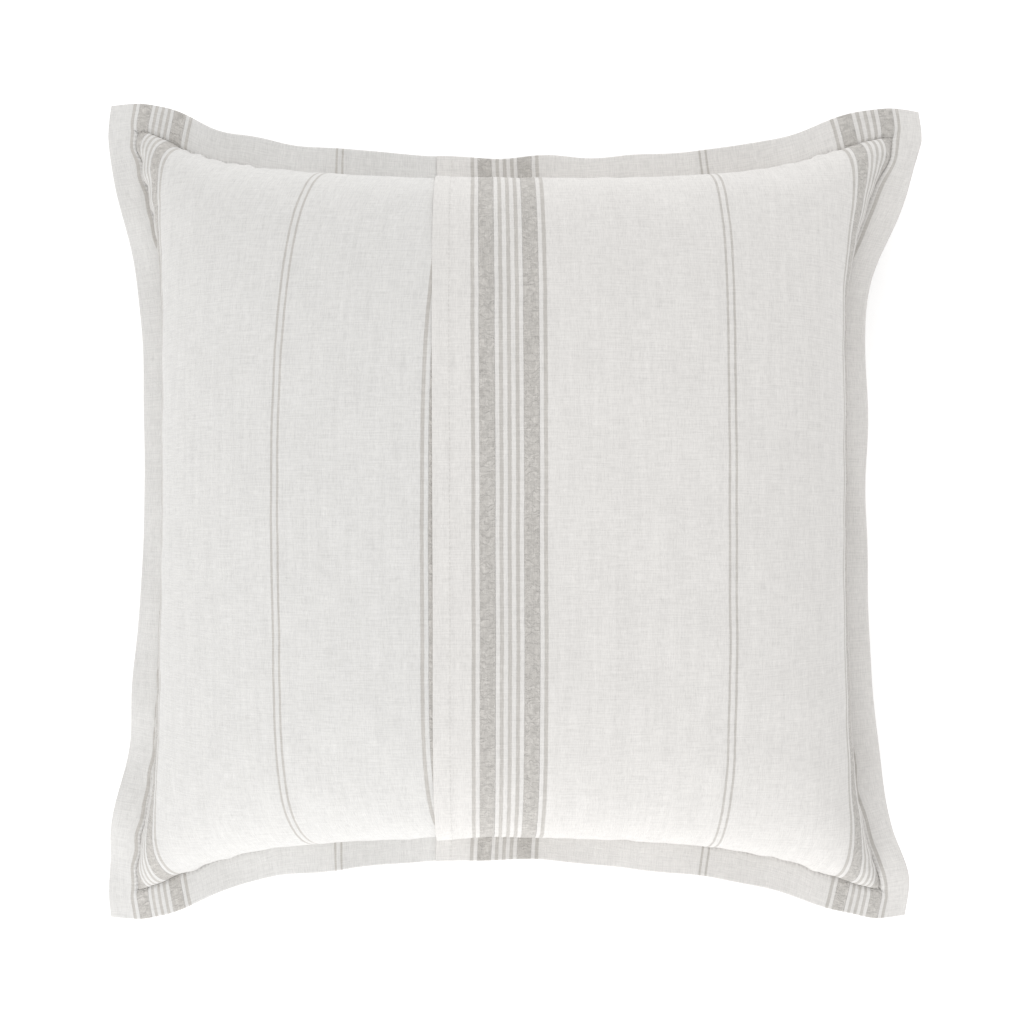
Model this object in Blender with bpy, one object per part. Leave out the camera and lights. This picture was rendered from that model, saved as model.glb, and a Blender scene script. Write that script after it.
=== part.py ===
"""A square flanged pillow: a linen cover with an overlapping envelope opening, and a filled insert.

The pillow lies on its back. X runs across the stripes, Y runs along them, and +Z points out of the
front. The origin is on the surface that the pillow rests on, under its middle. Sizes are in metres.

Every layer of cloth is the same crowned sheet at its own depth, cut into the same cells, so the
layers nest without touching. A place on a sheet is two shares, a across and b along, which are 0 in
the middle, 1 at the stitched line round the crown, and FLANGE_EDGE at the outer edge of the flange.
"""

import bmesh
import bpy
from mathutils import Vector

# Driving sizes of the filled pillow.
TIP_SPAN = 0.648            # between the tips of two neighbouring corners
FLANGE = 0.026              # flat border outside the stitched line
PULL_IN = 0.043             # how far each side is drawn in halfway between its corners
LOFT = 0.168                # from the surface it rests on to the crown of the front
SEAM_HEIGHT = 0.070         # stitched line, halfway between two corners
CORNER_HEIGHT = 0.050       # stitched line at a corner
FLANGE_DROOP = 0.003        # how far the flange's outer edge hangs below the stitched line
CROWN_POWER = 2.6           # how flat the crown is in the middle
CROWN_SHOULDER = 0.62       # how steeply the crown falls to the stitched line
BACK_DEPTH = 0.088          # depth of the back's crown before the resting surface flattens it

# The envelope opening in the front.
HEM_X = -0.057              # free edge of the upper front panel
FLAP_MIDDLE_X = -0.010      # a line of the cells between the free edge and the bend
BEND_X = 0.050              # line about which the free edge lifts
UNDER_HEM_X = 0.072         # hidden free edge of the lower front panel
FLAP_END = 0.74             # share of the half height over which the free edge lifts
SLIT = 0.0006               # half of the gap round the part that lifts

# Cloth, thread and the gaps between layers.
LINEN = 0.0010
TICKING = 0.0008
LABEL = 0.0004
LAYER_GAP = 0.0011          # between two layers of the cover, with room for a thread
CASING_GAP = 0.0004         # between the ticking and the filling
SEAM_GAP = 0.0011           # between the front and the back at a stitched line
CREASE = 0.7                # how far an outer layer steps out at the foot of the crown, for its height
INSERT_INSET = 0.003        # how far the insert's own seam lies inside the cover's
INSERT_SEAM = 0.0006        # the ticking's seam thread, measured in from the ticking's edge
FILL_EDGE = 0.0004          # thickness of the filling at its rim

# Stitching.
THREAD_RADIUS = 0.0002
THREAD_GAP = 0.0003
FLANGE_STITCH = 0.15        # share of the flange's width at which its stitches run
EDGE_STITCH = 0.85          # the same, for the seam that joins front and back inside the flange
HEM_STITCH = 0.012          # from a panel's free edge to its line of stitches

# Shares of the half width and half height at which the cells meet.
CREST_COLUMNS = [0.42, 0.66, 0.83, 0.925, 0.97]
CREST_ROWS = [0.28, 0.54, 0.87, 0.93, 0.97]
FLANGE_EDGE = 1.5

FRONT_STEP = LINEN + LAYER_GAP
CASING_DEPTH = LINEN + LAYER_GAP
FILL_DEPTH = CASING_DEPTH + TICKING + CASING_GAP
SEAM_HALF = TIP_SPAN / 2 - FLANGE
FRONT_RISE = LOFT - FRONT_STEP - LINEN - SEAM_GAP / 2 - SEAM_HEIGHT

LINEN_COLOUR = (0.80, 0.78, 0.75, 1.0)
TICKING_COLOUR = (0.86, 0.85, 0.82, 1.0)
FILL_COLOUR = (0.90, 0.89, 0.87, 1.0)
THREAD_COLOUR = (0.74, 0.72, 0.69, 1.0)
LABEL_COLOUR = (0.88, 0.88, 0.87, 1.0)


def clear_scene():
    """Starts from an empty scene."""
    for item in list(bpy.data.objects):
        bpy.data.objects.remove(item, do_unlink=True)


def fabric(name, colour, roughness):
    """A plain matt material."""
    made = bpy.data.materials.new(name)
    made.use_nodes = True
    shader = made.node_tree.nodes["Principled BSDF"]
    shader.inputs["Base Color"].default_value = colour
    shader.inputs["Roughness"].default_value = roughness
    shader.inputs["Metallic"].default_value = 0.0
    return made


def column_lines():
    """The shares across, with a narrow gap where the free edge bends."""
    outer = [*CREST_COLUMNS, 1.0, FLANGE_EDGE]
    places = [HEM_X, FLAP_MIDDLE_X, BEND_X - SLIT, BEND_X + SLIT, UNDER_HEM_X]
    return [-share for share in reversed(outer)] + [x / SEAM_HALF for x in places] + outer


def row_lines():
    """The shares along, with a narrow gap at each end of the part that lifts."""
    gap = SLIT / SEAM_HALF
    outer = sorted([*CREST_ROWS, FLAP_END - gap, FLAP_END + gap, 1.0, FLANGE_EDGE])
    return [-share for share in reversed(outer)] + [0.0] + outer


COLUMNS = column_lines()
ROWS = row_lines()
LAST_COLUMN = len(COLUMNS) - 1
LAST_ROW = len(ROWS) - 1


def line_near(lines, share):
    """The number of the line nearest to this share."""
    return min(range(len(lines)), key=lambda number: abs(lines[number] - share))


def crest(share):
    """The share held to the part inside the stitched line."""
    return max(-1.0, min(1.0, share))


def seam_plane(a, b):
    """A point level with the stitched line, whose sides are drawn in between the corners."""
    pull = PULL_IN / SEAM_HALF
    x = SEAM_HALF * a * (1 - pull * a * a * (1 - b * b))
    y = SEAM_HALF * b * (1 - pull * b * b * (1 - a * a))
    z = SEAM_HEIGHT - (SEAM_HEIGHT - CORNER_HEIGHT) * (a * b) ** 2
    return Vector((x, y, z))


def fullness(a, b):
    """How full the pillow is, from 0 at the stitched line to 1 in the middle."""
    across = max(0.0, 1 - abs(a) ** CROWN_POWER)
    along = max(0.0, 1 - abs(b) ** CROWN_POWER)
    return (across * along) ** CROWN_SHOULDER


def cover_point(a, b, front):
    """A point of the cover's face: of the lower front panel, or of the back."""
    point = seam_plane(crest(a), crest(b))
    out = Vector((a - crest(a), b - crest(b), 0)) / (FLANGE_EDGE - 1)
    point += out * FLANGE
    point.z -= FLANGE_DROOP * max(abs(out.x), abs(out.y))
    full = fullness(crest(a), crest(b))
    if front:
        point.z += FRONT_RISE * full + LINEN + SEAM_GAP / 2
    else:
        point.z = max(0.0, point.z - BACK_DEPTH * full - LINEN - SEAM_GAP / 2)
    return point


def on_side(share):
    """-1 or 1 on a side's stitched line, and 0 elsewhere."""
    return share if abs(share) == 1.0 else 0.0


def outward(a, b, front):
    """The way in which an outer layer lies outside an inner one."""
    up = Vector((0, 0, 1 if front else -1))
    if max(abs(a), abs(b)) > 1:
        return up
    side = Vector((on_side(a), on_side(b), 0))
    if side.length:
        return up + side * CREASE
    step = 1e-4
    across = cover_point(a + step, b, front) - cover_point(a - step, b, front)
    along = cover_point(a, b + step, front) - cover_point(a, b - step, front)
    normal = across.cross(along).normalized()
    return normal if normal.dot(up) > 0 else -normal


def cover_layer(a, b, front, depth):
    """The point this far under the cover's face."""
    return cover_point(a, b, front) - outward(a, b, front) * depth


def insert_scale(inset):
    """How much smaller the insert's outline is than the cover's, this far inside it."""
    return Vector((1 - inset / SEAM_HALF, 1 - inset / SEAM_HALF, 1))


def insert_layer(a, b, front, depth):
    """The same for a layer of the insert, whose two halves meet inside the cover's stitched line."""
    if max(abs(a), abs(b)) < 1.0:
        point = cover_layer(a, b, front, depth)
    else:
        point = seam_plane(a, b)
        gap = FILL_EDGE if depth == FILL_DEPTH else SEAM_GAP
        point.z += gap / 2 if front else -gap / 2
    return point * insert_scale(INSERT_INSET + depth - CASING_DEPTH)


def block(first_column, last_column, first_row, last_row):
    """The cells between two lines across and two lines along."""
    return {(i, j) for i in range(first_column, last_column) for j in range(first_row, last_row)}


def cell_corners(i, j):
    """A cell's four crossings, from the one where its diagonal starts."""
    ring = [(i, j), (i + 1, j), (i + 1, j + 1), (i, j + 1)]
    same_sign = (COLUMNS[i] + COLUMNS[i + 1]) * (ROWS[j] + ROWS[j + 1]) > 0
    return ring if same_sign else ring[1:] + ring[:1]


def add_skin(mesh, cells, place, facing_up):
    """Adds two triangles for each cell, and returns the vertex at each crossing."""
    corners = {}
    for cell in sorted(cells):
        ring = cell_corners(*cell)
        for i, j in ring:
            if (i, j) not in corners:
                corners[i, j] = mesh.verts.new(place(COLUMNS[i], ROWS[j]))
        first, second, third, fourth = [corners[key] for key in ring]
        for triangle in ([first, second, third], [first, third, fourth]):
            mesh.faces.new(triangle if facing_up else triangle[::-1])
    return corners


def rim_edges(cells):
    """The edges round a set of cells, each with the cells on its left."""
    edges = set()
    for i, j in cells:
        ring = [(i, j), (i + 1, j), (i + 1, j + 1), (i, j + 1)]
        edges |= set(zip(ring, ring[1:] + ring[:1]))
    return sorted(edge for edge in edges if edge[::-1] not in edges)


def solid(name, material, cells, top, bottom):
    """A closed solid over these cells, between an upper surface and a lower one."""
    mesh = bmesh.new()
    upper = add_skin(mesh, cells, top, True)
    lower = add_skin(mesh, cells, bottom, False)
    for start, end in rim_edges(cells):
        mesh.faces.new([upper[end], upper[start], lower[start], lower[end]])
    data = bpy.data.meshes.new(name)
    mesh.to_mesh(data)
    mesh.free()
    data.shade_smooth()
    data.materials.append(material)
    item = bpy.data.objects.new(name, data)
    bpy.context.scene.collection.objects.link(item)
    return item


def sheet(name, material, cells, front, depth, thickness, layer=cover_layer):
    """A sheet of cloth over these cells, whose outer face is this far under the cover's face."""
    def outer(a, b):
        return layer(a, b, front, depth)

    def inner(a, b):
        return layer(a, b, front, depth + thickness)

    top, bottom = (outer, inner) if front else (inner, outer)
    return solid(name, material, cells, top, bottom)


def thread(name, material, points, closed):
    """A line of sewing thread through these points."""
    curve = bpy.data.curves.new(name, "CURVE")
    curve.dimensions = "3D"
    curve.bevel_depth = THREAD_RADIUS
    curve.bevel_resolution = 1
    curve.use_fill_caps = not closed
    line = curve.splines.new("POLY")
    line.points.add(len(points) - 1)
    for spot, point in zip(line.points, points):
        spot.co = (*point, 1.0)
    line.use_cyclic_u = closed
    curve.materials.append(material)
    item = bpy.data.objects.new(name, curve)
    bpy.context.scene.collection.objects.link(item)
    return item


def ring(spread):
    """The places along a line round the pillow, this share of the flange's width outside the seam."""
    far = 1 + spread * (FLANGE_EDGE - 1)
    across = [a for a in COLUMNS if abs(a) <= 1]
    along = [b for b in ROWS if abs(b) <= 1]
    places = [(a, -far) for a in across] + [(far, -far)]
    places += [(far, b) for b in along] + [(far, far)]
    places += [(a, far) for a in reversed(across)] + [(-far, far)]
    places += [(-far, b) for b in reversed(along)] + [(-far, -far)]
    return list(dict.fromkeys(places))


def upper_step(a):
    """How far the upper front panel raises the flange's face here."""
    return FRONT_STEP if a > (HEM_X - SLIT) / SEAM_HALF else 0.0


def add_front(linen):
    """The two front panels, and the part of the upper one that lifts."""
    hem = line_near(COLUMNS, HEM_X / SEAM_HALF)
    bend = line_near(COLUMNS, (BEND_X - SLIT) / SEAM_HALF)
    under_hem = line_near(COLUMNS, UNDER_HEM_X / SEAM_HALF)
    high = line_near(ROWS, FLAP_END - SLIT / SEAM_HALF)
    low = LAST_ROW - high
    opening = block(hem, bend + 1, low - 1, high + 1)
    under = block(0, under_hem, 0, LAST_ROW)
    upper = block(hem, LAST_COLUMN, 0, LAST_ROW) - opening
    flap = block(hem, bend, low, high)
    sheet("front_under_panel", linen, under, True, 0.0, LINEN)
    sheet("front_over_panel", linen, upper, True, -FRONT_STEP, LINEN)
    sheet("front_over_flap", linen, flap, True, -FRONT_STEP, LINEN)


def add_flange_stitching(cotton):
    """The stitches through the flange, on both faces, and the seam along its outer edge."""
    lift = THREAD_GAP + THREAD_RADIUS
    stitched = ring(FLANGE_STITCH)
    front = [cover_point(a, b, True) + Vector((0, 0, upper_step(a) + lift)) for a, b in stitched]
    thread("flange_topstitch", cotton, front, True)
    back = [cover_point(a, b, False) - Vector((0, 0, lift)) for a, b in stitched]
    thread("flange_bobbin_stitch", cotton, back, True)
    middle = Vector((0, 0, LINEN + SEAM_GAP / 2))
    edge = [cover_point(a, b, True) - middle for a, b in ring(EDGE_STITCH)]
    thread("edge_seam_stitch", cotton, edge, True)


def add_hem_stitching(cotton):
    """The line of stitches along each front panel's free edge."""
    hem = (HEM_X + HEM_STITCH) / SEAM_HALF
    lift = THREAD_GAP + THREAD_RADIUS
    flap_rows = [row for row in ROWS if abs(row) < FLAP_END]
    points = [cover_layer(hem, row, True, -FRONT_STEP - lift) for row in flap_rows]
    thread("flap_hem_stitch", cotton, points, False)
    under_hem = (UNDER_HEM_X - HEM_STITCH) / SEAM_HALF
    under_rows = [row for row in ROWS if abs(row) < 1.0]
    points = [cover_layer(under_hem, row, True, -LAYER_GAP / 2) for row in under_rows]
    thread("under_hem_stitch", cotton, points, False)


def add_label(ribbon):
    """The blank care label, sewn to the inside of the lower front panel."""
    column = line_near(COLUMNS, -CREST_COLUMNS[-2])
    middle = line_near(ROWS, 0.0)
    depth = LINEN + (LAYER_GAP - LABEL) / 2
    sheet("care_label", ribbon, block(column, column + 1, middle - 1, middle), True, depth, LABEL)


def add_insert(ticking, fill, cotton):
    """The insert: two halves of ticking, the seam that joins them, and the filling."""
    cells = block(1, LAST_COLUMN - 1, 1, LAST_ROW - 1)
    sheet("insert_casing_top", ticking, cells, True, CASING_DEPTH, TICKING, insert_layer)
    sheet("insert_casing_bottom", ticking, cells, False, CASING_DEPTH, TICKING, insert_layer)

    def fill_top(a, b):
        return insert_layer(a, b, True, FILL_DEPTH)

    def fill_bottom(a, b):
        return insert_layer(a, b, False, FILL_DEPTH)

    solid("insert_fill", fill, cells, fill_top, fill_bottom)
    scale = insert_scale(INSERT_INSET + INSERT_SEAM)
    seam = [seam_plane(a, b) * scale for a, b in ring(0)]
    thread("insert_seam_stitch", cotton, seam, True)


def build():
    """Builds the cover, its stitching and label, and the insert."""
    clear_scene()
    linen = fabric("linen", LINEN_COLOUR, 0.9)
    ticking = fabric("ticking", TICKING_COLOUR, 0.85)
    fill = fabric("filling", FILL_COLOUR, 0.95)
    cotton = fabric("thread", THREAD_COLOUR, 0.6)
    ribbon = fabric("label", LABEL_COLOUR, 0.5)
    add_front(linen)
    sheet("back_panel", linen, block(0, LAST_COLUMN, 0, LAST_ROW), False, 0.0, LINEN)
    add_flange_stitching(cotton)
    add_hem_stitching(cotton)
    add_label(ribbon)
    add_insert(ticking, fill, cotton)


build()
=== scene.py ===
"""A flanged throw pillow: a striped linen cover with a lapped front opening, over a plump insert."""

import logging
import math
from collections.abc import Callable
from dataclasses import dataclass, field
from enum import Enum

import bmesh
import bpy
import numpy as np
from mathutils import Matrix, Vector


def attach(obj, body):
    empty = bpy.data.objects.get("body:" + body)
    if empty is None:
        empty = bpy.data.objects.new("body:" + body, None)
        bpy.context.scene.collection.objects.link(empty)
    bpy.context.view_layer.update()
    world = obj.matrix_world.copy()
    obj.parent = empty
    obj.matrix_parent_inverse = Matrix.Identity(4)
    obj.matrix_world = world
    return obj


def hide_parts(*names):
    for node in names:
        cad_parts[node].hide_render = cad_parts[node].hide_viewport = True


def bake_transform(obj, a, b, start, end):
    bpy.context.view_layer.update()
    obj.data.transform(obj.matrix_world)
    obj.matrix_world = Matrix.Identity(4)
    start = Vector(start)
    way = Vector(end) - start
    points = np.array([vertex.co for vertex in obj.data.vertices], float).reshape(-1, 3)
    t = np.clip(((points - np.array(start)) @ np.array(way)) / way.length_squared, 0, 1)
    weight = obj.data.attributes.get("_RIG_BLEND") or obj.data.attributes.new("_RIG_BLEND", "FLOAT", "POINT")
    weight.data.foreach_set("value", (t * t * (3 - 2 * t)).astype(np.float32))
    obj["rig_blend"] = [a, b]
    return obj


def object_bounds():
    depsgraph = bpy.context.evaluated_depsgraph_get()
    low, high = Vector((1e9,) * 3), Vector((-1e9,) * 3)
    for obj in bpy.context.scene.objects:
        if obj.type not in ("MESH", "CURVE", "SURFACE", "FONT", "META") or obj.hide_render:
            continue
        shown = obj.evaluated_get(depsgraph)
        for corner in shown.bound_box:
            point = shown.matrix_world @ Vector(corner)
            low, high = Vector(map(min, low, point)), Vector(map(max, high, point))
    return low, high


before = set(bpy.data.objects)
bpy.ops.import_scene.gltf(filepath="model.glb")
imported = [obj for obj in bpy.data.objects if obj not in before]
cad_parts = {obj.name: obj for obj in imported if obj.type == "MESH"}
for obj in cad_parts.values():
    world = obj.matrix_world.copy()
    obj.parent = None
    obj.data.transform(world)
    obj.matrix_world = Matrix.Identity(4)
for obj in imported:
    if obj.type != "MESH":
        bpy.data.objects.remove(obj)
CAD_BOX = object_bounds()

LOG = logging.getLogger("throw_pillow")

Socket = bpy.types.NodeSocket
Value = Socket | float | tuple[float, ...]
Array = np.ndarray
Skin = Callable[[Array, Array], tuple[Array, Array]]
MM = 0.001


# --------------------------------------------------------------------------------------------------
# The cloth as it is cut, and the form it takes when it is sewn and filled
# --------------------------------------------------------------------------------------------------


class Side(Enum):
    """The two faces of the cover."""

    FRONT = 0
    BACK = 1


@dataclass(frozen=True)
class ClothCut:
    """The flat pieces the cover is sewn from, in metres. X runs across the stripes and Y along them."""

    half: float = 0.336
    flange: float = 0.026
    hem: float = -0.0538
    under_hem: float = 0.072
    slip: float = 0.012
    drawn: float = 0.0370
    low_draw: float = 0.2
    draw_power: float = 4.0
    draw_ease: float = 0.9
    draw_spread: float = 2.7
    seam_gather: float = 0.965
    edge_gather: float = 0.975
    take_up: float = 0.965

    @property
    def seam(self) -> float:
        """How far the seam that sets off the flange lies from the middle."""
        return self.half - self.flange

    def lines(self, cells: int, rim: int) -> Array:
        """Where the threads that are followed lie across the flat cloth.

        Args:
            cells: cells between the middle and the seam.
            rim: cells across the flange.

        Returns:
            Positions from one outer edge to the other, with one on each seam.
        """
        inner = np.linspace(-self.seam, self.seam, 2 * cells + 1)
        outer = np.linspace(self.seam, self.half, rim + 1)[1:]
        return np.concatenate([-outer[::-1], inner, outer])

    def under_across(self, across: Array, along: Array, drawn: float) -> Array:
        """Where the under panel's own threads lie, when it has been drawn from beneath the over panel.

        Args:
            across: places across the cover.
            along: places along it.
            drawn: how far it has come at the middle, and not at all at the seams.

        Returns:
            Places across the under panel's flat cloth.
        """
        row = np.clip(along / self.seam, -1, 1)
        off_middle = np.abs(row + self.low_draw * (1 - row * row))
        free = np.clip(1 - off_middle**self.draw_power, 0, 1) ** self.draw_ease
        share = np.clip((across + self.seam) / (self.hem + self.seam), 0, 1)
        return across + drawn * free * (1 - (1 - share) ** self.draw_spread)


@dataclass(frozen=True)
class Filling:
    """How the insert presses on the cover, and how the cloth answers."""

    fullness: float = 0.187
    shoulder: float = 5.0
    shoulder_power: float = 0.45
    spring: float = 5.0
    most_press: float = 1.5
    push: float = 6e-5
    weight: float = 4e-6
    bend: float = 0.02
    flange_bend: float = 0.02
    squeeze: float = 0.05
    shear: float = 0.1
    flange_line: float = 0.3
    lump: float = 0.05
    lump_waves: int = 10
    seed: int = 3
    least_gap: float = 4 * MM
    finest_cell: float = 3.7 * MM
    flange_reach: float = 50 * MM


class ClothRelaxer:
    """Two sheets of cloth, sewn together along the seam and beyond it, blown out by the filling."""

    def __init__(self, cut: ClothCut, filling: Filling, cells: int, rim: int) -> None:
        """Sets out the threads and their lengths.

        Args:
            cut: the flat cloth.
            filling: what presses on it.
            cells: cells between the middle and the seam.
            rim: cells across the flange.
        """
        self.cut = cut
        self.filling = filling
        self.rim = rim
        self.lines = cut.lines(cells, rim)
        self.count = len(self.lines)
        self.cell = self.lines[rim + 1] - self.lines[rim]
        self.across, self.along = np.meshgrid(self.lines, self.lines)
        inside = (np.abs(self.across) < cut.seam - 1e-9) & (np.abs(self.along) < cut.seam - 1e-9)
        self.inside = inside
        self.sewn = ~inside
        self.rests = self.thread_lengths()
        self.room = self.room_for_filling()
        self.bend_across, self.bend_along = self.bend_shares()

    @staticmethod
    def spans(across: Array, along: Array) -> list[Array]:
        """The flat lengths of the threads and of both diagonals between neighbouring points.

        Args:
            across: each point's place across the flat cloth.
            along: each point's place along it.

        Returns:
            Lengths across, lengths along, and the lengths of the two diagonals.
        """
        across_steps = (across[:, 1:] - across[:, :-1], across[1:] - across[:-1],
                        across[1:, 1:] - across[:-1, :-1], across[1:, :-1] - across[:-1, 1:])
        along_steps = (along[:, 1:] - along[:, :-1], along[1:] - along[:-1],
                       along[1:, 1:] - along[:-1, :-1], along[1:, :-1] - along[:-1, 1:])
        return [np.hypot(a, b) for a, b in zip(across_steps, along_steps)]

    def gathered(self, spans: list[Array]) -> list[Array]:
        """Draws up the threads along the seam, and less so out to the edge.

        Args:
            spans: the flat lengths across, along and on both diagonals.

        Returns:
            The drawn-up lengths, in the same order.
        """
        taken = slice(self.rim, self.count - 1 - self.rim)
        drawn = [span.copy() for span in spans]
        drawn[0][self.rim + 1:self.count - 1 - self.rim, taken] *= self.cut.take_up
        drawn[1][taken, self.rim + 1:self.count - 1 - self.rim] *= self.cut.take_up
        for diagonal in drawn[2:]:
            diagonal[taken, taken] *= self.cut.take_up
        for line in range(self.rim + 1):
            share = line / self.rim
            draw = self.cut.edge_gather + (self.cut.seam_gather - self.cut.edge_gather) * share
            for place in (line, self.count - 1 - line):
                drawn[0][place, :] *= draw
                drawn[1][:, place] *= draw
        return drawn

    def thread_lengths(self) -> list[Array]:
        """The lengths that the front's and the back's threads want to keep."""
        plain = self.spans(self.across, self.along)
        under = self.spans(self.cut.under_across(self.across, self.along, self.cut.slip), self.along)
        middles = 0.5 * (self.lines[1:] + self.lines[:-1])
        by_cell = (middles < self.cut.hem)[None, :]
        by_line = (self.lines <= self.cut.hem)[None, :]
        picks = (by_cell, by_line, by_cell, by_cell)
        front = [np.where(pick, a, b) for pick, a, b in zip(picks, under, plain)]
        return [np.stack(pair) for pair in zip(self.gathered(front), self.gathered(plain))]

    def room_for_filling(self) -> Array:
        """How thick the filling would stand at each point if nothing held it."""
        filling = self.filling
        a = np.clip(np.abs(self.across) / self.cut.seam, 0, 1) ** filling.shoulder
        b = np.clip(np.abs(self.along) / self.cut.seam, 0, 1) ** filling.shoulder
        chance = np.random.default_rng(filling.seed)
        lumps = np.zeros_like(self.across)
        for _ in range(filling.lump_waves):
            wave_across, wave_along = chance.uniform(-22, 22, 2)
            lumps += np.sin(wave_across * self.across + wave_along * self.along + chance.uniform(0, 6.28))
        lumps /= math.sqrt(5)
        crown = ((1 - a) * (1 - b)) ** filling.shoulder_power
        return filling.fullness * crown * (1 + filling.lump * lumps)

    def bend_shares(self) -> tuple[Array, Array]:
        """How stiffly each point resists bending, which it doesn't do across the seam."""
        stiff = np.where(self.inside, self.filling.bend, self.filling.flange_bend)
        free = np.ones(self.count - 2)
        free[[self.rim - 1, self.count - self.rim - 2]] = 0
        across = stiff[:, 1:-1] * free[None, :]
        along = stiff[1:-1] * free[:, None]
        return across[None, ..., None], along[None, ..., None]

    @staticmethod
    def outward(points: Array) -> Array:
        """Unit normals that point out of the pillow on both faces.

        Args:
            points: both sheets, as face, row, column and place.

        Returns:
            One normal for each point.
        """
        across = np.gradient(points, axis=2)
        along = np.gradient(points, axis=1)
        normals = np.cross(across, along)
        normals /= np.linalg.norm(normals, axis=-1, keepdims=True) + 1e-12
        normals[1] *= -1
        return normals

    @staticmethod
    def pull(first: Array, second: Array, rest: Array, stretch: float, squeeze: float) -> None:
        """Moves pairs of points towards their thread's length.

        Args:
            first: one end of each thread, changed in place.
            second: the other end.
            rest: the lengths to keep.
            stretch: how much of a stretch is taken back.
            squeeze: how much of a squeeze is taken back.
        """
        way = second - first
        length = np.sqrt(np.einsum("...k,...k", way, way)) + 1e-12
        strain = (length - rest) / length
        way *= (np.where(strain > 0, 0.5 * stretch, 0.5 * squeeze) * strain)[..., None]
        first += way
        second -= way

    def sweep(self, points: Array) -> None:
        """Goes once over every thread and diagonal.

        Args:
            points: both sheets, changed in place.
        """
        squeeze = self.filling.squeeze
        shear = self.filling.shear
        for odd in (0, 1):
            self.pull(points[:, :, odd:-1:2], points[:, :, odd + 1::2],
                      self.rests[0][:, :, odd::2], 1, squeeze)
            self.pull(points[:, odd:-1:2], points[:, odd + 1::2],
                      self.rests[1][:, odd::2], 1, squeeze)
        for odd in (0, 1):
            self.pull(points[:, :-1, odd:-1:2], points[:, 1:, odd + 1::2],
                      self.rests[2][:, :, odd::2], shear, shear * squeeze)
            self.pull(points[:, :-1, odd + 1::2], points[:, 1:, odd:-1:2],
                      self.rests[3][:, :, odd::2], shear, shear * squeeze)
        self.sew(points)

    def sew(self, points: Array) -> None:
        """Holds the two sheets together along the seam and the flange."""
        middle = 0.5 * (points[0][self.sewn] + points[1][self.sewn])
        points[0][self.sewn] = middle
        points[1][self.sewn] = middle

    def hold_flange(self, points: Array) -> None:
        """Turns the flange towards the line that runs on from the pillow's middle plane.

        Args:
            points: both sheets, changed in place.
        """
        reach = max(1, round(self.filling.flange_reach / self.cell))
        for flipped in (False, True):
            grid = points.transpose(0, 2, 1, 3) if flipped else points
            for seam, out in ((self.rim, -1), (self.count - 1 - self.rim, 1)):
                inner = 0.5 * (grid[0, seam - out * reach] + grid[1, seam - out * reach])
                way = grid[0, seam] - inner
                way /= np.linalg.norm(way, axis=-1, keepdims=True) + 1e-9
                ring = grid[0, seam + out]
                step = np.linalg.norm(ring - grid[0, seam], axis=-1, keepdims=True)
                move = self.filling.flange_line * (grid[0, seam] + way * step - ring)
                move[:self.rim] = 0
                move[self.count - self.rim:] = 0
                grid[:, seam + out] += move
                grid[:, seam] -= move

    @staticmethod
    def smooth_bends(points: Array, share: Array, axis: int) -> None:
        """Takes back a share of each point's bend along one axis of the grid.

        Args:
            points: both sheets, changed in place.
            share: how much of its bend each point gives up.
            axis: the axis of the grid.
        """
        grid = np.moveaxis(points, axis, 0)
        bend = (grid[:-2] - 2 * grid[1:-1] + grid[2:]) * np.moveaxis(share, axis, 0)
        grid[:-2] -= bend
        grid[1:-1] += 2 * bend
        grid[2:] -= bend

    def settle(self, points: Array, steps: int) -> Array:
        """Lets the filling press and the cloth answer.

        Args:
            points: both sheets, as face, row, column and place.
            steps: how many times.

        Returns:
            The settled sheets.
        """
        filling = self.filling
        finest = self.cell / filling.finest_cell
        for _ in range(steps):
            gap = points[0, ..., 2] - points[1, ..., 2]
            short = self.room / np.maximum(gap, filling.least_gap) - 1
            press = np.clip(filling.spring * short, 0, filling.most_press)
            push = filling.push * (finest / 4) ** 2
            points = points + self.outward(points) * (push * press * self.inside)[None, ..., None]
            points[..., 2] -= filling.weight * finest
            self.smooth_bends(points, self.bend_across, 2)
            self.smooth_bends(points, self.bend_along, 1)
            self.sew(points)
            self.sweep(points)
            self.sweep(points)
            self.hold_flange(points)
            points[..., 2] = np.maximum(points[..., 2], 0)
            points[..., :2] -= points[..., :2].mean(axis=(0, 1, 2))
        return points


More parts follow.
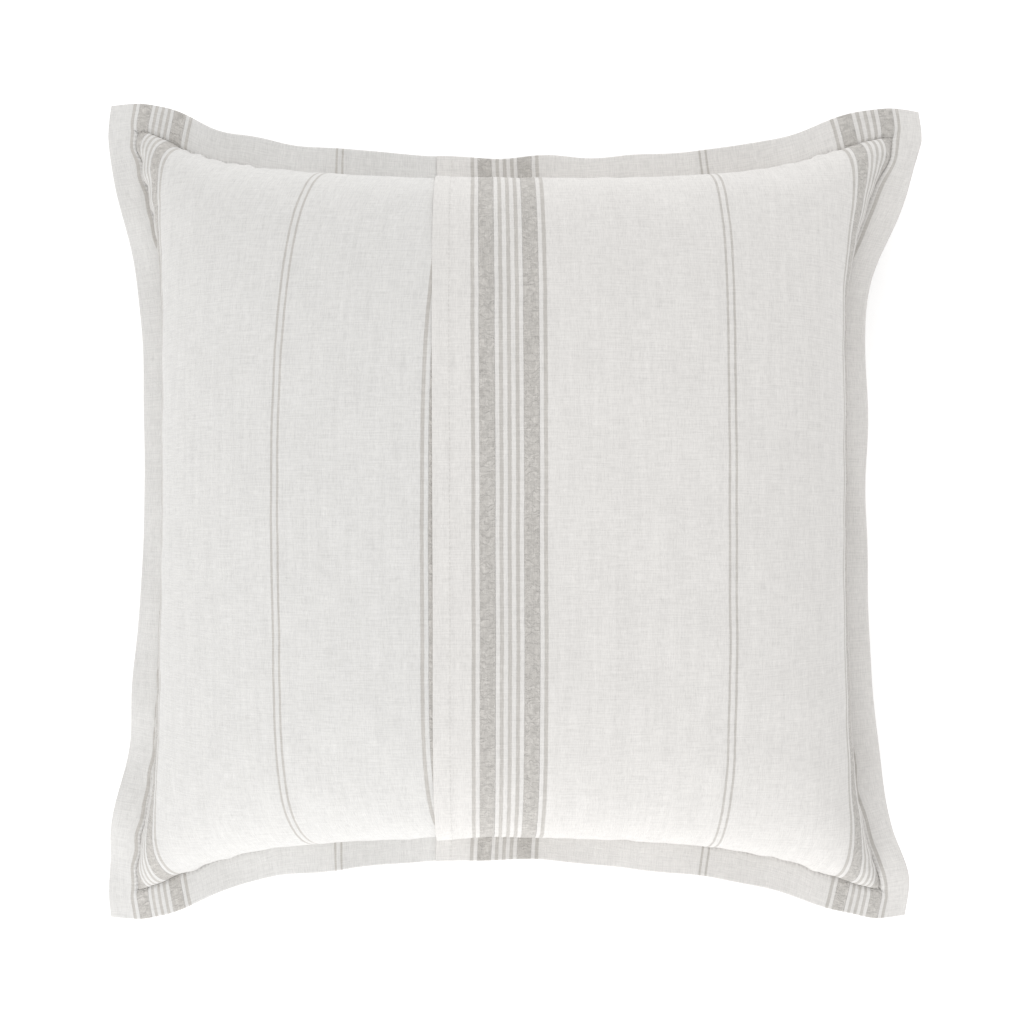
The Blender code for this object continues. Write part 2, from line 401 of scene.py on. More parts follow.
class PillowForm:
    """The settled cover: both faces as smooth surfaces over the flat cloth."""

    steps: tuple[int, ...] = (800, 400, 260)
    quick_steps: tuple[int, ...] = (600, 120)
    lean: tuple[float, float] = (-6.0 * MM, 4.4 * MM)
    drawn_in: tuple[float, float] = (14.0 * MM, 18.4 * MM)
    wall: tuple[float, float] = (14.0, 6.0)
    wall_ease: float = 1.6
    first_cells: int = 21
    first_rim: int = 2
    shake: float = 0.2 * MM
    shake_seed: int = 7
    ripple_seed: int = 21
    ripple_waves: int = 6
    wave_scale: float = 2.4
    held_end: float = 50 * MM
    seam_reach: float = 11 * MM
    corner_power: float = 5
    bow_power: float = 8
    ripple: tuple[float, float] = (2.6 * MM, 1.0 * MM)
    seam_stray: float = 1.1 * MM
    side_pulls: tuple[tuple[int, int, float, float, float], ...] = (
        (0, -1, -0.50, 0.42, 6.5 * MM), (0, -1, 0.10, 0.30, 3.0 * MM),
        (0, 1, 0.12, 0.26, 4.5 * MM), (0, 1, -0.30, 0.22, 3.0 * MM), (0, 1, -0.82, 0.20, -6.0 * MM),
        (0, 1, 0.52, 0.20, -6.0 * MM),
        (1, -1, 0.42, 0.40, 6.5 * MM), (1, -1, -0.30, 0.25, 4.5 * MM),
        (1, 1, 0.62, 0.30, -4.0 * MM), (1, 1, -0.75, 0.14, -3.0 * MM))
    corner_pulls: tuple[tuple[float, float, float, float], ...] = (
        (-1, 1, 0.0, 3.0 * MM), (1, 1, 4.0 * MM, -0.5 * MM),
        (1, -1, -7.0 * MM, -2.0 * MM), (-1, -1, 0.5 * MM, -2.0 * MM))

    def __init__(self, cut: ClothCut, filling: Filling, width: float) -> None:
        """Simulates the cover, coarse cells first, and brings it to its real width.

        Args:
            cut: the flat cloth.
            filling: what presses on it.
            width: from tip to tip, in metres.
        """
        self.cut = cut
        self.rim = self.first_rim
        cells = self.first_cells
        points = self.sewn_flat(cut.lines(cells, self.rim))
        chance = np.random.default_rng(self.shake_seed)
        for level, steps in enumerate(self.steps):
            if level:
                points = self.halve_cells(points)
                cells *= 2
                self.rim *= 2
            relaxer = ClothRelaxer(cut, filling, cells, self.rim)
            points[..., 2] += chance.normal(0, self.shake, points.shape[:3]) * relaxer.inside * (level > 0)
            points = relaxer.settle(points, steps)
            LOG.info("cloth settled with %d cells a side", 2 * cells)
        self.lines = cut.lines(cells, self.rim)
        flat = points[..., :2].reshape(-1, 2)
        points *= width / (flat.max(axis=0) - flat.min(axis=0)).max()
        points[..., :2] -= 0.5 * (points[..., :2].max(axis=(0, 1, 2)) + points[..., :2].min(axis=(0, 1, 2)))
        self.points = self.set_down(points)

    def set_down(self, points: Array) -> Array:
        """Leans the body a little, as a pillow lies that was dropped into place, and draws its sides in.

        Args:
            points: both sheets, as face, row, column and place.

        Returns:
            The sheets, moved across and along only.
        """
        a, b = np.meshgrid(self.lines, self.lines)
        a, b = np.clip(a / self.cut.seam, -1, 1), np.clip(b / self.cut.seam, -1, 1)
        body = 1 - (a * b) ** 2
        wall_across = np.sign(a) * np.abs(a) ** self.wall[0] * (1 - b * b) ** self.wall_ease
        wall_along = np.sign(b) * np.abs(b) ** self.wall[1] * (1 - a * a) ** self.wall_ease
        points[..., 0] += self.lean[0] * body - self.drawn_in[0] * wall_across
        points[..., 1] += self.lean[1] * body - self.drawn_in[1] * wall_along
        for side_across, side_along, pull_across, pull_along in self.corner_pulls:
            near = (np.clip(side_across * a, 0, 1) * np.clip(side_along * b, 0, 1)) ** self.corner_power
            points[..., 0] += pull_across * near
            points[..., 1] += pull_along * near
        for axis, way, middle, spread, pull in self.side_pulls:
            out, run = (a, b) if axis == 0 else (b, a)
            near = np.clip(way * out, 0, 1) ** self.bow_power * np.exp(-((run - middle) / spread) ** 2)
            points[..., axis] += way * pull * near * smooth((1 - np.abs(run)) / 0.15)
        return self.ripple_flange(points)

    def ripple_flange(self, points: Array) -> Array:
        """Lets the flange wave up and down and its edge wander, as cloth does that nothing fills.

        Args:
            points: both sheets, as face, row, column and place.

        Returns:
            The sheets with their flange waved.
        """
        across, along = np.meshgrid(self.lines, self.lines)
        chance = np.random.default_rng(self.ripple_seed)
        for gap, run, axis, way in ((across, along, 0, 1), (-across, along, 0, -1),
                                    (along, across, 1, 1), (-along, across, 1, -1)):
            out = np.clip((gap - self.cut.seam) / self.cut.flange, 0, 1)
            near_seam = np.exp(-(((gap - self.cut.seam) / self.seam_reach) ** 2))
            rise, stray, seam = np.zeros_like(out), np.zeros_like(out), np.zeros_like(out)
            for _ in range(self.ripple_waves):
                rise += np.sin(run * 2 * math.pi / chance.uniform(0.06, 0.17) + chance.uniform(0, 6.28))
                stray += np.sin(run * 2 * math.pi / chance.uniform(0.045, 0.16) + chance.uniform(0, 6.28))
                seam += np.sin(run * 2 * math.pi / chance.uniform(0.026, 0.09) + chance.uniform(0, 6.28))
            held = smooth((self.cut.half - np.abs(run)) / self.held_end)
            points[..., 2] += self.ripple[0] / self.wave_scale * rise * out**1.3 * held
            points[..., axis] += way * self.ripple[1] / self.wave_scale * stray * out * held
            points[..., axis] += way * self.seam_stray / self.wave_scale * seam * near_seam * held
        return points

    def sewn_flat(self, lines: Array) -> Array:
        """A first shape near the settled one.

        Args:
            lines: where the threads lie on the flat cloth.

        Returns:
            Both sheets, as face, row, column and place.
        """
        across, along = np.meshgrid(lines, lines)
        seam = self.cut.seam
        a, b = np.clip(across / seam, -1, 1), np.clip(along / seam, -1, 1)
        x = 0.298 * a * (1 - 0.145 * a * a * (1 - b * b)) + across - a * seam
        y = 0.298 * b * (1 - 0.145 * b * b * (1 - a * a)) + along - b * seam
        level = 0.072 - 0.022 * (a * b) ** 2
        crown = ((1 - np.abs(a) ** 2.6) * (1 - np.abs(b) ** 2.6)) ** 0.6
        front = np.stack([x, y, level + 0.10 * crown], -1)
        back = np.stack([x, y, np.maximum(0, level - 0.09 * crown)], -1)
        return np.stack([front, back])

    @staticmethod
    def halve_cells(points: Array) -> Array:
        """Puts a new point between each pair, on a smooth curve through its neighbours.

        Args:
            points: both sheets, as face, row, column and place.

        Returns:
            The sheets with cells half as wide.
        """
        for axis in (1, 2):
            grid = np.moveaxis(points, axis, 0)
            wide = np.concatenate([2 * grid[:1] - grid[1:2], grid, 2 * grid[-1:] - grid[-2:-1]])
            middles = (9 * (wide[1:-2] + wide[2:-1]) - wide[:-3] - wide[3:]) / 16
            fine = np.empty((2 * len(grid) - 1, *grid.shape[1:]))
            fine[::2] = grid
            fine[1::2] = middles
            points = np.moveaxis(fine, 0, axis)
        return np.ascontiguousarray(points)

    def shares(self, flat: Array) -> Array:
        """How much each thread counts at a place on the flat cloth, with a crease kept at each seam.

        Args:
            flat: places along one direction of the flat cloth.

        Returns:
            One row of shares for each place.
        """
        count = len(self.lines)
        place = np.interp(flat, self.lines, np.arange(count))
        creases = np.array([0, self.rim, count - 1 - self.rim, count - 1])
        part = np.clip(np.searchsorted(creases, place, side="right") - 1, 0, 2)
        low, high = creases[part], creases[part + 1]
        base = np.clip(np.floor(place).astype(int), low, high - 1)
        t = place - base
        cubic = (-0.5 * t + t**2 - 0.5 * t**3, 1 - 2.5 * t**2 + 1.5 * t**3,
                 0.5 * t + 2 * t**2 - 1.5 * t**3, -0.5 * t**2 + 0.5 * t**3)
        shares = np.zeros((len(flat), count))
        rows = np.arange(len(flat))
        for shift, share in zip((-1, 0, 1, 2), cubic):
            at = base + shift
            near = np.clip(at, low, high)
            beyond = (at != near).astype(float)
            np.add.at(shares, (rows, near), share * (1 + beyond))
            np.add.at(shares, (rows, 2 * near - at), -share * beyond)
        return shares

    def surface(self, side: Side, across: Array, along: Array) -> tuple[Array, Array]:
        """One face over a grid of places on the flat cloth.

        Args:
            side: which face.
            across: places across the cloth, one for each column.
            along: places along it, one for each row.

        Returns:
            Points and outward normals, as row, column and place.
        """
        grid = np.tensordot(self.shares(along), self.points[side.value], axes=(1, 0))
        points = np.tensordot(grid, self.shares(across), axes=(1, 1)).transpose(0, 2, 1)
        return points, self.normals(points, side)

    @staticmethod
    def normals(points: Array, side: Side) -> Array:
        """Outward unit normals of a grid of points on that face."""
        normals = np.cross(np.gradient(points, axis=1), np.gradient(points, axis=0))
        normals /= np.linalg.norm(normals, axis=-1, keepdims=True) + 1e-12
        return normals if side is Side.FRONT else -normals

    def spots(self, side: Side, across: Array, along: Array) -> tuple[Array, Array]:
        """Points and outward normals of one face at scattered places on the flat cloth.

        Args:
            side: which face.
            across: each place across the cloth.
            along: each place along it.

        Returns:
            One point and one normal for each place.
        """
        reach = 0.8 * MM
        grid = self.points[side.value]

        def at(u: Array, v: Array) -> Array:
            """The points at those places."""
            rows = np.tensordot(self.shares(v), grid, axes=(1, 0))
            return np.einsum("ibk,ib->ik", rows, self.shares(u))

        points = at(across, along)
        normals = np.cross(at(across + reach, along) - points, at(across, along + reach) - points)
        normals /= np.linalg.norm(normals, axis=-1, keepdims=True) + 1e-12
        return points, normals if side is Side.FRONT else -normals

    def middle(self, across: Array, along: Array) -> tuple[Array, Array]:
        """Points midway between the two faces at those places, and the front's normals."""
        front, normals = self.spots(Side.FRONT, across, along)
        return 0.5 * (front + self.spots(Side.BACK, across, along)[0]), normals


# --------------------------------------------------------------------------------------------------
# How the layers lie on the form
# --------------------------------------------------------------------------------------------------


@dataclass
class Layers:
    """How far each layer of the cover stands off the settled form, and its small unevenness."""

    cut: ClothCut
    groove: float = 0.3 * MM
    flange_half: float = 1.25 * MM
    cover_lift: float = 0.7 * MM
    lap: float = 1.0 * MM
    hem_width: float = 14 * MM
    hem_rise: float = 0.45 * MM
    pucker: float = 1.3 * MM
    pucker_reach: float = 15 * MM
    drift: float = 0.35 * MM
    flange_rise: float = 1.2 * MM
    body_rise: float = 2.5 * MM
    edge_radius: float = 1.3 * MM
    lap_fade: float = 14 * MM
    hem_fade: float = 2.5 * MM
    least_lap: float = 0.15 * MM
    seam_press: float = 0.45

    def to_seam(self, across: Array, along: Array) -> Array:
        """Distance out from the seam on the flat cloth, below zero inside it."""
        return np.maximum(np.abs(across), np.abs(along)) - self.cut.seam

    def base(self, across: Array, along: Array) -> Array:
        """The skin of the cover, in a groove at the seam and rounded at the flange's edge.

        Args:
            across: places across the flat cloth.
            along: places along it.

        Returns:
            How far the skin stands off the form.
        """
        out = self.to_seam(across, along)
        flange = (self.flange_half - self.groove) * (1 - np.exp(-np.maximum(out, 0) / self.flange_rise))
        body = (self.cover_lift - self.groove) * (1 - np.exp(np.minimum(out, 0) / self.body_rise))
        return (self.groove + np.where(out > 0, flange, body)) * self.edge_round(across, along)

    def edge_round(self, across: Array, along: Array) -> Array:
        """1 over the flange, falling to 0 in a round at its outer edge."""
        left = np.clip((self.cut.flange - self.to_seam(across, along)) / self.edge_radius, 0, 1)
        return np.sqrt(np.clip(1 - (1 - left) ** 2, 0, 1))

    def over(self, across: Array, along: Array) -> Array:
        """The over panel's skin: on the under panel as far as that runs, with a thicker hem.

        Args:
            across: places across the flat cloth.
            along: places along it.

        Returns:
            How far the skin stands off the form.
        """
        cut = self.cut
        lapped = 1 - smooth((across - cut.under_hem) / self.lap_fade)
        pressed = 1 - self.seam_press * np.exp(-np.abs(self.to_seam(across, along)) / (3 * MM))
        hem = 1 - smooth((across - cut.hem - self.hem_width + 1.5 * MM) / self.hem_fade)
        extra = self.least_lap + lapped * self.lap * pressed + hem * self.hem_rise * pressed
        return self.base(across, along) + extra * self.edge_round(across, along)

    def unevenness(self, across: Array, along: Array, seed: int) -> Array:
        """Puckers that the stitches draw in beside each seam, and a slow drift all over.

        Args:
            across: places across the flat cloth.
            along: places along it.
            seed: which draw of chance.

        Returns:
            How far the cloth stands in or out, in metres.
        """
        chance = np.random.default_rng(seed)
        total = np.zeros(np.broadcast(across, along).shape)
        for gap, run in ((self.cut.seam - across, along), (self.cut.seam + across, along),
                         (self.cut.seam - along, across), (self.cut.seam + along, across)):
            wave = np.zeros_like(total)
            for _ in range(7):
                turns = run * 2 * math.pi / chance.uniform(11, 34) / MM
                wave = wave + np.sin(turns + chance.uniform(0, 6.28))
            fade = np.exp(-np.abs(gap) / self.pucker_reach) * (1 - np.exp(-np.abs(gap) / (2.5 * MM)))
            ends = smooth((self.cut.seam - np.abs(run)) / (60 * MM))
            strength = 0.4 + 0.6 * np.sin(run * chance.uniform(9, 16) + chance.uniform(0, 6.28)) ** 2
            total = total + self.pucker * wave / 2.6 * fade * ends * strength * (gap > 0)
        for _ in range(12):
            turn, span = chance.uniform(0, math.pi), chance.uniform(26, 80) * MM
            way = across * math.cos(turn) + along * math.sin(turn)
            total = total + self.drift / 3.4 * np.sin(way * 2 * math.pi / span + chance.uniform(0, 6.28))
        calm = smooth(-self.to_seam(across, along) / (6 * MM))
        return total * calm


def smooth(share: Array) -> Array:
    """A smooth step from 0 to 1 as share goes from 0 to 1."""
    share = np.clip(share, 0, 1)
    return share * share * (3 - 2 * share)


def thread_lines(cut: ClothCut, start: float, stop: float, step: float) -> Array:
    """Places for a panel's rows or columns, closer together at seams and outer edges.

    Args:
        cut: the flat cloth.
        start: the first place.
        stop: the last place.
        step: the usual distance between them.

    Returns:
        The places in order, each once.
    """
    even = np.linspace(start, stop, max(2, round((stop - start) / step) + 1))
    near_seam = np.array([-2.6, -1.3, -0.5, 0, 0.5, 1.1, 2.0]) * MM + cut.seam
    near_edge = cut.half - np.array([1.3, 0.75, 0.35, 0.1, 0]) * MM
    special = np.concatenate([near_seam, near_edge])
    special = np.concatenate([special, -special])
    special = special[(special >= start) & (special <= stop)]
    clear = np.abs(even[:, None] - special[None, :]).min(axis=1) > 0.45 * MM if len(special) else True
    return np.unique(np.round(np.concatenate([even[clear], special]), 7))


# --------------------------------------------------------------------------------------------------
# Meshes
# --------------------------------------------------------------------------------------------------


@dataclass
class Patch:
    """A grid of points with its flat cloth coordinates and its place beside the seam."""

    points: Array
    cloth: Array
    seam: Array
    turned: bool = False

    def faces(self, first: int) -> Array:
        """Four-cornered faces over the grid.

        Args:
            first: the number of the grid's first point.

        Returns:
            The numbers of each face's corners.
        """
        rows, columns = self.points.shape[:2]
        number = np.arange(rows * columns).reshape(rows, columns) + first
        corners = [number[:-1, :-1], number[:-1, 1:], number[1:, 1:], number[1:, :-1]]
        if self.turned:
            corners.reverse()
        return np.stack(corners, -1).reshape(-1, 4)


def flat_patch(points: Array, across: Array, along: Array, cut: ClothCut, turned: bool = False) -> Patch:
    """A patch whose coordinates come from the flat cloth.

    Args:
        points: the grid, as row, column and place.
        across: each point's place across the cloth.
        along: each point's place along it.
        cut: the flat cloth.
        turned: whether the faces look the other way.

    Returns:
        The patch.
    """
    out = np.maximum(np.abs(across), np.abs(along)) - cut.seam
    run = np.where(np.abs(across) > np.abs(along), along, across)
    return Patch(points, np.stack([across, along], -1), np.stack([run, out], -1), turned)


def mesh_piece(name: str, patches: list[Patch], weld: bool = False) -> bpy.types.Object:
    """Makes one smooth object from patches.

    Args:
        name: the piece's name.
        patches: its grids.
        weld: whether to join points that coincide.

    Returns:
        The new object, in the scene.
    """
    first = 0
    points, faces, cloth, seam = [], [], [], []
    for patch in patches:
        faces.append(patch.faces(first))
        points.append(patch.points.reshape(-1, 3))
        cloth.append(patch.cloth.reshape(-1, 2))
        seam.append(patch.seam.reshape(-1, 2))
        first += len(points[-1])
    all_faces = np.concatenate(faces)
    mesh = bpy.data.meshes.new(name)
    mesh.from_pydata(np.concatenate(points).tolist(), [], all_faces.tolist())
    corners = all_faces.reshape(-1)
    for label, values in (("cloth", np.concatenate(cloth)), ("seam", np.concatenate(seam))):
        layer = mesh.uv_layers.new(name=label)
        layer.uv.foreach_set("vector", values[corners].astype(np.float32).reshape(-1))
    mesh.polygons.foreach_set("use_smooth", np.ones(len(all_faces), bool))
    if weld:
        shape = bmesh.new()
        shape.from_mesh(mesh)
        bmesh.ops.remove_doubles(shape, verts=shape.verts, dist=1e-6)
        shape.to_mesh(mesh)
        shape.free()
    mesh.update()
    piece = bpy.data.objects.new(name, mesh)
    bpy.context.scene.collection.objects.link(piece)
    return piece


@dataclass
class Stitching:
    """A run of separate stitches laid along a line on the cloth."""

    pitch: float = 3.6 * MM
    length: float = 2.9 * MM
    thread: float = 0.2 * MM
    sink: float = 0.22 * MM
    sides: int = 6

    def profile(self) -> tuple[Array, Array, Array]:
        """Where the rings of one stitch lie along it, how thick they are and how high."""
        along = np.array([-0.5, -0.42, -0.2, 0.0, 0.2, 0.42, 0.5])
        thick = np.array([0.3, 0.8, 1.0, 1.0, 1.0, 0.8, 0.3])
        high = self.thread - (self.sink + self.thread) * (2 * along) ** 4
        return along, thick, high

    def lay(self, name: str, ends: list[tuple[Array, Array]], place: Skin) -> bpy.types.Object:
        """Makes the stitches as one object.

        Args:
            name: the piece's name.
            ends: the straight runs on the flat cloth, each from one place to another.
            place: gives points and normals for places across and along the cloth.

        Returns:
            The new object.
        """
        share, thick, high = self.profile()
        spots = []
        for start, stop in ends:
            distance = float(np.linalg.norm(stop - start))
            count = max(2, round(distance / self.pitch))
            middle = (np.arange(count) + 0.5) / count
            at = middle[:, None] + share[None, :] * self.length / distance
            spots.append(start[None, None] + (stop - start)[None, None] * at[..., None])
        flat = np.concatenate(spots)
        points, normals = place(flat[..., 0].reshape(-1), flat[..., 1].reshape(-1))
        points = points.reshape(len(flat), len(share), 3)
        normals = normals.reshape(len(flat), len(share), 3)
        way = np.gradient(points, axis=1)
        way /= np.linalg.norm(way, axis=-1, keepdims=True) + 1e-12
        beside = np.cross(way, normals)
        turn = np.arange(self.sides) * 2 * math.pi / self.sides
        ring = (beside[:, :, None] * np.cos(turn)[None, None, :, None]
                + normals[:, :, None] * np.sin(turn)[None, None, :, None])
        rings = points[:, :, None] + ring * (self.thread * thick)[None, :, None, None]
        rings = rings + normals[:, :, None] * high[None, :, None, None]
        return self.tubes(name, rings, share)

    def tubes(self, name: str, rings: Array, share: Array) -> bpy.types.Object:
        """Skins the rings, closes both ends of each stitch and lays coordinates on them.

        Args:
            name: the piece's name.
            rings: the points, as stitch, ring, point round it and place.
            share: where each ring lies along its stitch.

        Returns:
            The new object.
        """
        stitches, count, sides = rings.shape[:3]
        number = np.arange(stitches * count * sides).reshape(stitches, count, sides)
        after = np.roll(number, -1, axis=2)
        quads = np.stack([number[:, :-1], number[:, 1:], after[:, 1:], after[:, :-1]], -1).reshape(-1, 4)
        caps = np.concatenate([number[:, 0], number[:, -1, ::-1]])
        mesh = bpy.data.meshes.new(name)
        mesh.from_pydata(rings.reshape(-1, 3).tolist(), [], quads.tolist() + caps.tolist())
        along = np.broadcast_to((share * self.length)[None, :, None], number.shape).reshape(-1)
        turn = np.broadcast_to(np.arange(sides)[None, None, :] / sides, number.shape).reshape(-1)
        corners = np.concatenate([quads.reshape(-1), caps.reshape(-1)])
        layer = mesh.uv_layers.new(name="cloth")
        values = np.stack([along, turn * 2 * math.pi * self.thread], -1)[corners]
        layer.uv.foreach_set("vector", values.astype(np.float32).reshape(-1))
        mesh.polygons.foreach_set("use_smooth", np.ones(len(mesh.polygons), bool))
        mesh.update()
        piece = bpy.data.objects.new(name, mesh)
        bpy.context.scene.collection.objects.link(piece)
        return piece


# --------------------------------------------------------------------------------------------------
# Finishes
# --------------------------------------------------------------------------------------------------


class NodeSheet:
    """A node tree with short ways to add to it."""

    def __init__(self, tree: bpy.types.NodeTree) -> None:
        """Keeps the tree."""
        self.tree = tree

    def add(self, kind: str, inputs: dict[str | int, Value] | None = None,
            **settings: object) -> bpy.types.Node:
        """Adds a node.

        Args:
            kind: its type.
            inputs: values or sockets for its inputs, by name or number.
            settings: the node's own settings.

        Returns:
            The node.
        """
        node = self.tree.nodes.new(kind)
        for name, value in settings.items():
            setattr(node, name, value)
        for name, value in (inputs or {}).items():
            self.feed(node.inputs[name], value)
        return node

    def feed(self, socket: Socket, value: Value) -> None:
        """Links a socket to this input, or sets its value."""
        if isinstance(value, bpy.types.NodeSocket):
            self.tree.links.new(value, socket)
        else:
            socket.default_value = value

    def math(self, operation: str, *values: Value, clamp: bool = False) -> Socket:
        """The result of a Math node on those values or sockets."""
        node = self.add("ShaderNodeMath", dict(enumerate(values)), operation=operation, use_clamp=clamp)
        return node.outputs[0]

    def vector(self, x: Value, y: Value, z: Value = 0.0) -> Socket:
        """A vector from three values or sockets."""
        return self.add("ShaderNodeCombineXYZ", {0: x, 1: y, 2: z}).outputs[0]

    def ramp(self, value: Value, low: float, high: float, start: float = 0.0, stop: float = 1.0) -> Socket:
        """A smooth step of value from start to stop, as it goes from low to high."""
        node = self.add("ShaderNodeMapRange", {0: value, 1: low, 2: high, 3: start, 4: stop},
                        interpolation_type="SMOOTHSTEP")
        return node.outputs[0]

    def noise(self, vector: Socket, scale: float, detail: float = 2.0, rough: float = 0.5) -> Socket:
        """A noise pattern's value, about 0.5."""
        node = self.add("ShaderNodeTexNoise", {"Vector": vector, "Scale": scale, "Detail": detail,
                                               "Roughness": rough})
        return node.outputs[0]

    def mix(self, share: Value, first: Value, second: Value) -> Socket:
        """A colour between two.

        Args:
            share: 0 for the first and 1 for the second.
            first: the first colour.
            second: the second colour.

        Returns:
            The mixed colour.
        """
        node = self.add("ShaderNodeMix", data_type="RGBA")
        self.feed(node.inputs[0], share)
        self.feed(node.inputs[6], first)
        self.feed(node.inputs[7], second)
        return node.outputs[2]

    def split(self, vector: Socket) -> tuple[Socket, Socket]:
        """The first two parts of a vector."""
        node = self.add("ShaderNodeSeparateXYZ", {0: vector})
        return node.outputs[0], node.outputs[1]

    def group(self, tree: bpy.types.NodeTree, inputs: dict[str, Value]) -> bpy.types.Node:
        """Places a node group with its own values.

        Args:
            tree: the group.
            inputs: values or sockets for its inputs, by name.

        Returns:
            The group's node.
        """
        node = self.tree.nodes.new("ShaderNodeGroup")
        node.node_tree = tree
        for name, value in inputs.items():
            self.feed(node.inputs[name], value)
        return node


def new_group(name: str, inputs: dict[str, str], outputs: list[str]
              ) -> tuple[NodeSheet, dict[str, Socket], bpy.types.Node]:
    """Starts a shader node group.

    Args:
        name: the group's name.
        inputs: its inputs, each with Float or Vector.
        outputs: its outputs, all numbers.

    Returns:
        The sheet to add to, the sockets of its inputs by name, and its output node.
    """
    tree = bpy.data.node_groups.new(name, "ShaderNodeTree")
    for label, kind in inputs.items():
        tree.interface.new_socket(label, in_out="INPUT", socket_type=f"NodeSocket{kind}")
    for label in outputs:
        tree.interface.new_socket(label, in_out="OUTPUT", socket_type="NodeSocketFloat")
    sheet = NodeSheet(tree)
    entry = tree.nodes.new("NodeGroupInput")
    leave = tree.nodes.new("NodeGroupOutput")
    return sheet, {label: entry.outputs[label] for label in inputs}, leave


@dataclass(frozen=True)
class StripeDraft:
    """The woven stripes: a group of bars about a middle, and a pair of pinstripes beyond it."""

    repeat: float = 290 * MM
    pair: float = 157 * MM
    bars: tuple[tuple[float, float], ...] = ((0.0, 1.35), (5.7, 1.35), (15.5, 5.45), (25.3, 1.35))
    thick_bar: tuple[float, float] = (15.5, 5.45)
    pin: tuple[float, float] = (2.45, 0.85)
    soft: float = 0.28

    def bar(self, sheet: NodeSheet, distance: Socket, middle: float, half: float) -> Socket:
        """1 inside a bar that lies middle from the centre, in millimetres, and 0 outside it."""
        off = sheet.math("ABSOLUTE", sheet.math("SUBTRACT", distance, middle))
        return sheet.ramp(off, half - self.soft, half + self.soft, 1.0, 0.0)

    def build(self) -> bpy.types.NodeTree:
        """Makes the node group: masks of all stripes and of the wide bars alone."""
        sheet, given, leave = new_group("woven stripes", {"Cloth": "Vector", "Centre": "Float"},
                                        ["Stripe", "Wide"])
        across, along = sheet.split(given["Cloth"])
        bow = sheet.noise(sheet.vector(0.0, along), 14.0, 2.0)
        jitter = sheet.noise(sheet.vector(sheet.math("MULTIPLY", across, 0.2), along), 1500.0, 1.0)
        shift = sheet.math("ADD", sheet.math("MULTIPLY", sheet.math("SUBTRACT", bow, 0.5), 0.0011),
                           sheet.math("MULTIPLY", sheet.math("SUBTRACT", jitter, 0.5), 0.0006))
        place = sheet.math("SUBTRACT", sheet.math("ADD", across, shift), given["Centre"])
        wrapped = sheet.math("WRAP", place, self.repeat / 2, -self.repeat / 2)
        distance = sheet.math("MULTIPLY", sheet.math("ABSOLUTE", wrapped), 1000.0)
        total = self.bar(sheet, distance, *self.bars[0])
        for middle, half in self.bars[1:]:
            total = sheet.math("ADD", total, self.bar(sheet, distance, middle, half))
        beyond = sheet.math("SUBTRACT", place, self.pair)
        beyond = sheet.math("WRAP", beyond, self.repeat / 2, -self.repeat / 2)
        pin_distance = sheet.math("MULTIPLY", sheet.math("ABSOLUTE", beyond), 1000.0)
        total = sheet.math("ADD", total, self.bar(sheet, pin_distance, *self.pin), clamp=True)
        sheet.feed(leave.inputs["Stripe"], total)
        sheet.feed(leave.inputs["Wide"], self.bar(sheet, distance, *self.thick_bar))
        return sheet.tree


def weave_group() -> bpy.types.NodeTree:
    """A plain weave: its height, the tone of each yarn and the thick places spun into them."""
    sheet, given, leave = new_group("plain weave", {"Cloth": "Vector", "Pitch": "Float"},
                                    ["Height", "Tone", "Slub"])
    across, along = sheet.split(given["Cloth"])
    wander = sheet.noise(given["Cloth"], 220.0, 1.0)
    wander = sheet.math("MULTIPLY", sheet.math("SUBTRACT", wander, 0.5), 0.0007)
    warp_at = sheet.math("DIVIDE", sheet.math("ADD", across, wander), given["Pitch"])
    weft_at = sheet.math("DIVIDE", sheet.math("SUBTRACT", along, wander), given["Pitch"])
    warp = sheet.math("SINE", sheet.math("MULTIPLY", warp_at, math.pi))
    weft = sheet.math("SINE", sheet.math("MULTIPLY", weft_at, math.pi))
    over = sheet.math("MULTIPLY_ADD", sheet.math("MULTIPLY", warp, weft), 0.5, 0.5)
    under = sheet.math("SUBTRACT", 1.0, over)
    height = sheet.math("MAXIMUM", sheet.math("MULTIPLY", sheet.math("ABSOLUTE", warp), over),
                        sheet.math("MULTIPLY", sheet.math("ABSOLUTE", weft), under))
    warp_yarn = sheet.noise(sheet.vector(sheet.math("MULTIPLY", across, 1250.0),
                                         sheet.math("MULTIPLY", along, 130.0)), 1.0, 2.0)
    weft_yarn = sheet.noise(sheet.vector(sheet.math("MULTIPLY", across, 60.0),
                                         sheet.math("MULTIPLY", along, 1100.0), 7.0), 1.0, 2.0)
    slub = sheet.math("ADD", sheet.ramp(warp_yarn, 0.56, 0.74),
                      sheet.math("MULTIPLY", sheet.ramp(weft_yarn, 0.58, 0.76), 0.5))
    tone = sheet.math("ADD", sheet.math("MULTIPLY", warp_yarn, 0.56), sheet.math("MULTIPLY", weft_yarn, 0.44))
    streak = sheet.noise(sheet.vector(sheet.math("MULTIPLY", across, 260.0),
                                      sheet.math("MULTIPLY", along, 16.0), 3.0), 1.0, 2.0)
    tone = sheet.math("ADD", tone, sheet.math("MULTIPLY", sheet.math("SUBTRACT", streak, 0.5), 0.22))
    sheet.feed(leave.inputs["Height"], height)
    sheet.feed(leave.inputs["Tone"], tone)
    sheet.feed(leave.inputs["Slub"], slub)
    return sheet.tree


